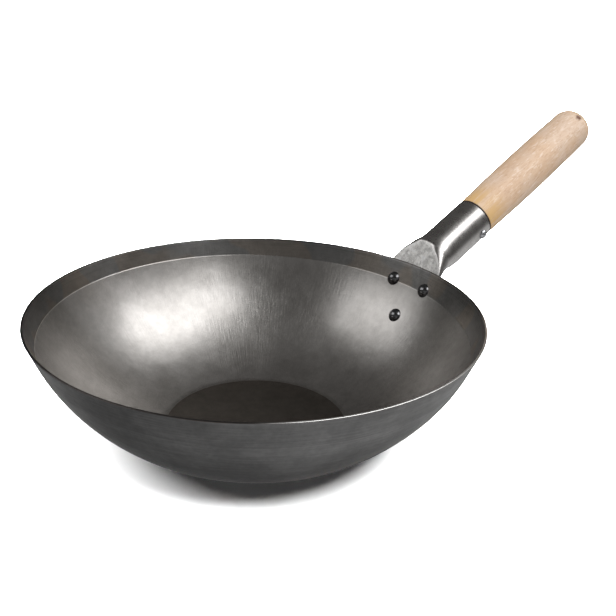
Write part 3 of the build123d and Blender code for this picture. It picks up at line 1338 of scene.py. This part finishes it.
@dataclass
class GripScrew:
    """Cross-head screw through the side of the tube."""

    head_radius: float = 0.0046
    head_height: float = 0.0032
    sink: float = 0.0004
    setback: float = 0.0105
    turn: float = math.radians(106)
    slot_width: float = 0.0014
    slot_length: float = 0.0062
    slot_depth: float = 0.0015
    turn_steps: int = 64

    def seat_frame(self) -> Matrix:
        """Matrix from a head turned round Z to its seat on the tube.

        Returns:
            The matrix.
        """
        away = Matrix.Rotation(self.turn, 3, SOCKET.axis) @ SOCKET.up
        centre = SOCKET.mouth - SOCKET.axis * self.setback + away * SOCKET.radius
        return placed(centre, SOCKET.axis, away.cross(SOCKET.axis), away)

    def in_slot(self, spot: Vector) -> bool:
        """Whether a point of the head lies in the cross.

        Args:
            spot: The point, before the head is moved to its seat.

        Returns:
            True inside the cross.
        """
        wide, long = self.slot_width / 2, self.slot_length / 2
        x, y = abs(spot.x), abs(spot.y)
        return spot.z > 0 and (x < wide and y < long or y < wide and x < long)

    def build(self, finish: Material, dark: Material) -> None:
        """Models the screw's head with its cross recess and dresses it.

        Args:
            finish: Finish of the head.
            dark: Dark steel laid in the cross recess as painted shade.
        """
        dome = Rivets(sink=self.head_height).dome(self.head_radius, self.head_height)
        mesh = turned(dome, self.turn_steps)
        for reach in (self.slot_width / 2, self.slot_length / 2):
            for way in ((1, 0, 0), (-1, 0, 0), (0, 1, 0), (0, -1, 0)):
                everything = mesh.verts[:] + mesh.edges[:] + mesh.faces[:]
                bmesh.ops.bisect_plane(mesh, geom=everything, plane_co=Vector(way) * reach, plane_no=way)
        cross = [face for face in mesh.faces if self.in_slot(face.calc_center_median())]
        pushed = bmesh.ops.extrude_face_region(mesh, geom=cross)["geom"]
        bmesh.ops.delete(mesh, geom=cross, context="FACES")
        floor_verts = [item for item in pushed if isinstance(item, bmesh.types.BMVert)]
        bmesh.ops.translate(mesh, verts=floor_verts, vec=(0, 0, -self.slot_depth))
        # The cross recess gets the dark steel: painted shade.
        for item in pushed:
            if isinstance(item, bmesh.types.BMFace):
                item.material_index = 1
        mesh.transform(self.seat_frame())
        seat(new_piece("grip_screw_head", mesh, [finish, dark]), "screw_steel", "grip_screw")


# Studio


@dataclass
class PhotoCamera:
    """A pinhole camera at the photograph's angle, aimed from the rim's centre."""

    elevation: float = 0.3957
    distance: float = 3.79401
    focal_px: float = 859.96
    pan: float = -0.05843
    tilt: float = 0.00092
    roll: float = -0.01257
    handle_turn: float = math.radians(36.17)
    frame_px: float = 616
    sensor: float = 36

    @property
    def heading(self) -> Vector:
        """Level direction in which the camera looks at the bowl's centre."""
        return Matrix.Rotation(-self.handle_turn, 3, "Z") @ Vector((0, 1, 0))

    def build(self) -> None:
        """Makes the camera the scene's camera."""
        place = Vector((0, -math.cos(self.elevation), math.sin(self.elevation))) * self.distance
        ahead = -place.normalized()
        right = ahead.cross(Z_AXIS).normalized()
        up = right.cross(ahead)
        pan = Matrix.Rotation(self.pan, 3, up)
        ahead, right = pan @ ahead, pan @ right
        tilt = Matrix.Rotation(self.tilt, 3, right)
        ahead, up = tilt @ ahead, tilt @ up
        roll = Matrix.Rotation(self.roll, 3, ahead)
        right, up = roll @ right, roll @ up
        turn = Matrix.Rotation(-self.handle_turn, 4, "Z")
        centre = Matrix.Translation(Z_AXIS * WALL.height)
        data = bpy.data.cameras.new("photo_camera")
        data.sensor_width = self.sensor
        data.lens = self.focal_px / self.frame_px * self.sensor
        camera = bpy.data.objects.new("photo_camera", data)
        camera.matrix_world = centre @ turn @ placed(place * WALL.rim_radius, right, up, -ahead)
        bpy.context.scene.collection.objects.link(camera)
        bpy.context.scene.camera = camera


def away_from(heading: Vector, azimuth: float, elevation: float) -> Vector:
    """Direction from the wok at two angles.

    Args:
        heading: Level direction in which the camera looks.
        azimuth: Degrees to the right of the heading.
        elevation: Degrees over the level.

    Returns:
        The unit vector.
    """
    level = Matrix.Rotation(-math.radians(azimuth), 3, "Z") @ heading
    lift = math.radians(elevation)
    return level * math.cos(lift) + Z_AXIS * math.sin(lift)


@dataclass(frozen=True)
class Softbox:
    """A softbox whose glow is seen only as a reflection, at angles in degrees from the camera's heading."""

    name: str
    azimuth: float
    elevation: float
    width: float
    height: float
    roll: float
    glow: float
    distance: float = 4.0

    def build(self, heading: Vector) -> None:
        """Hangs the light.

        Args:
            heading: Level direction of the camera.
        """
        away = away_from(heading, self.azimuth, self.elevation)
        data = bpy.data.lights.new(self.name, "AREA")
        data.shape = "RECTANGLE"
        data.size = self.width * self.distance
        data.size_y = self.height * self.distance
        data.energy = self.glow * math.pi * data.size * data.size_y
        light = bpy.data.objects.new(self.name, data)
        light.location = Z_AXIS * WALL.height + away * self.distance
        roll = Matrix.Rotation(-math.radians(self.roll), 3, away)
        light.rotation_euler = (roll @ away.to_track_quat("Z", "Y").to_matrix()).to_euler()
        light.visible_diffuse = False
        bpy.context.scene.collection.objects.link(light)


@dataclass(frozen=True)
class Sun:
    """A broad distant light on the paper or the wood, which the steel doesn't mirror."""

    name: str
    lit: Lit
    azimuth: float
    elevation: float
    power: float
    spread: float

    def build(self, heading: Vector) -> None:
        """Hangs the light.

        Args:
            heading: Level direction of the camera.
        """
        data = bpy.data.lights.new(self.name, "SUN")
        data.energy = self.power
        data.angle = math.radians(self.spread)
        light = bpy.data.objects.new(self.name, data)
        away = away_from(heading, self.azimuth, self.elevation)
        light.rotation_euler = away.to_track_quat("Z", "Y").to_euler()
        light.visible_glossy = False
        receivers = bpy.data.collections.new(self.name + "_receivers")
        receivers.objects.link(bpy.data.objects[self.lit.value])
        light.light_linking.receiver_collection = receivers
        bpy.context.scene.collection.objects.link(light)


@dataclass(frozen=True)
class Glow:
    """A lit stretch of the room, which the steel mirrors.

    It lies round an azimuth and fades in from the edge to full, both cosines of the angle to it.
    Its levels are sines of the elevation: it fades in over the first two and out over the others.
    """

    tone: float
    azimuth: float
    edge: float
    full: float
    levels: tuple

    def lay(self, graph: Graph, below: Input, heading: Vector) -> Output:
        """Lays the glow over the room's tone.

        Args:
            graph: The world's graph.
            below: The tone so far.
            heading: Level direction of the camera.

        Returns:
            The new tone.
        """
        way = graph.add("TexCoord").outputs["Generated"]
        level = graph.part(way, "Z")
        side = graph.measure("DOT_PRODUCT", way, away_from(heading, self.azimuth, 0))
        rise = graph.ramp(level, *self.levels[:2])
        fall = graph.ramp(level, *self.levels[2:], 1, 0)
        share = graph.times(graph.ramp(side, self.edge, self.full), graph.times(rise, fall))
        return graph.mix(share, below, tint(self.tone, self.tone, self.tone))


@dataclass
class Studio:
    """Pale paper that rises far away, suns for it and the wood, softboxes and a dim room for the steel."""

    floor_size: float = 60.0
    floor_cells: int = 60
    sweep_start: float = 4.0
    sweep_rise: float = 0.008
    floor_tone: tuple = (0.93, 0.93, 0.93, 1)
    paper_grain: float = 0.004
    suns: tuple = (
        Sun("left_light", Lit.FLOOR, -99, 64, 10.4, 60),
        Sun("right_light", Lit.FLOOR, 136, 71, 27.0, 54),
        Sun("front_light", Lit.WOOD, 165, 45, 5.3, 130),
        Sun("back_light", Lit.WOOD, -30, 50, 2.2, 120),
        Sun("low_light", Lit.WOOD, 90, -35, 1.6, 120),
    )
    dark_room: tuple = (0.085, 0.083, 0.08, 1)
    glows: tuple = (
        Glow(0.26, 180, 0.3, 0.9, (-0.1, 0.0, 0.35, 0.6)),
        Glow(0.23, 0, -3, -2, (-3, -2, -0.3, 0.0)),
        Glow(0.60, 115, -0.4, 0.6, (-3, -2, -0.35, -0.15)),
        Glow(0.13, 0, -3, -2, (-3, -2, -1.0, -0.975)),
        Glow(0.66, 5, 0.1, 0.8, (-0.8, -0.45, -0.5, -0.2)),
        Glow(0.05, 0, 0.15, 0.4, (-3, -2, -0.85, -0.65)),
        Glow(0.50, 72, 0.8, 1, (0.1, 0.35, 0.5, 0.8)),
    )
    softboxes: tuple = (
        Softbox("key_softbox", 112, 52, 1.18, 0.50, 12, 2.95),
        Softbox("key_low", 74, 41, 0.56, 0.34, 10, 1.0),
        Softbox("key_spill", 106, 63, 0.70, 0.28, 0, 0.52),
        Softbox("top_softbox", 150, 80, 0.36, 0.28, 0, 0.25),
        Softbox("fill_softbox", -87, 36, 0.80, 0.48, -30, 1.7),
    )

    def floor(self) -> None:
        """Lays the paper that the wok stands on, which the steel doesn't mirror."""
        mesh = bmesh.new()
        cells = self.floor_cells
        bmesh.ops.create_grid(mesh, x_segments=cells, y_segments=cells, size=self.floor_size / 2)
        for vert in mesh.verts:
            vert.co.z = self.sweep_rise * max(0.0, vert.co.length - self.sweep_start) ** 2
        graph = Graph("floor_paper")
        rough = graph.ramp(graph.noise(graph.space(), self.paper_grain, 2), 0, 1, 0.85, 0.95)
        data = bpy.data.meshes.new("floor")
        mesh.to_mesh(data)
        mesh.free()
        data.materials.append(graph.finish({"Base Color": self.floor_tone, "Roughness": rough}))
        sheet = bpy.data.objects.new("floor", data)
        sheet.visible_glossy = False
        sheet.visible_diffuse = False
        bpy.context.scene.collection.objects.link(sheet)

    def surroundings(self, heading: Vector) -> None:
        """Gives the room its tones.

        Args:
            heading: Level direction of the camera.
        """
        world = bpy.data.worlds.new("studio")
        bpy.context.scene.world = world
        world.use_nodes = True
        graph = Graph("room", world.node_tree)
        tone = self.dark_room
        for glow in self.glows:
            tone = glow.lay(graph, tone, heading)
        graph.set(world.node_tree.nodes["Background"].inputs["Color"], tone)
        world.cycles_visibility.diffuse = False

    def build(self, heading: Vector) -> None:
        """Builds the floor and the lights.

        Args:
            heading: Level direction of the camera.
        """
        self.floor()
        self.surroundings(heading)
        for light in self.suns + self.softboxes:
            light.build(heading)
        bpy.context.scene.view_settings.view_transform = "Standard"


def main() -> None:
    """Builds the wok's pieces in order and the studio round them."""
    logging.basicConfig(level=logging.INFO, format="%(name)s: %(message)s")
    camera = PhotoCamera()
    camera.build()
    inside = BowlSteel(
        "bare_steel_inside", tint(0.45, 0.435, 0.42), tint(0.38, 0.365, 0.35), (0.31, 0.35)
    )
    outside = OutsideSteel(
        "bare_steel_outside", tint(0.30, 0.298, 0.296), tint(0.22, 0.219, 0.218), (0.40, 0.48)
    )
    bright = Steel(
        "polished_steel", tint(0.58, 0.565, 0.55), tint(0.48, 0.465, 0.455), (0.26, 0.32),
        mottle=0.012, grain=0.0006, grain_depth=0.000001,
    )
    pressed = PressedSteel(
        "pressed_steel", tint(0.96, 0.95, 0.93), tint(0.80, 0.79, 0.77), (0.46, 0.6),
        mottle=0.008, grain=0.0005, grain_depth=0.00003,
    )
    dark = Steel(
        "dark_steel", tint(0.21, 0.21, 0.215), tint(0.13, 0.13, 0.135), (0.13, 0.20),
        mottle=0.004, grain=0.0005, grain_depth=0.00001,
    )
    screw = Steel(
        "screw_steel", tint(0.62, 0.62, 0.64), tint(0.4, 0.4, 0.42), (0.15, 0.25),
        mottle=0.002, grain=0.0003, grain_depth=0.00001,
    )
    wood = Timber(
        "pale_wood",
        pale=tint(0.43, 0.325, 0.245),
        warm=tint(0.41, 0.285, 0.19),
        vein=tint(0.27, 0.155, 0.085),
        bleached=tint(0.52, 0.43, 0.35),
        amber=tint(0.40, 0.25, 0.10),
        knot=tint(0.09, 0.035, 0.015),
        mouth_dark_band=tint(0.012, 0.007, 0.005),
        axis_turn=-SOCKET.rake,
    )
    Bowl().build(inside.build(), outside.build())
    SOCKET.build(bright.build(), pressed.build())
    # Dark steel of the rivets, also laid in the screw's recess as painted shade.
    dark_steel_and_recess_shade = dark.build()
    Rivets().build(dark_steel_and_recess_shade)
    Grip().build(wood)
    GripScrew().build(screw.build(), dark_steel_and_recess_shade)
    Studio().build(camera.heading)


if __name__ == "__main__":
    main()
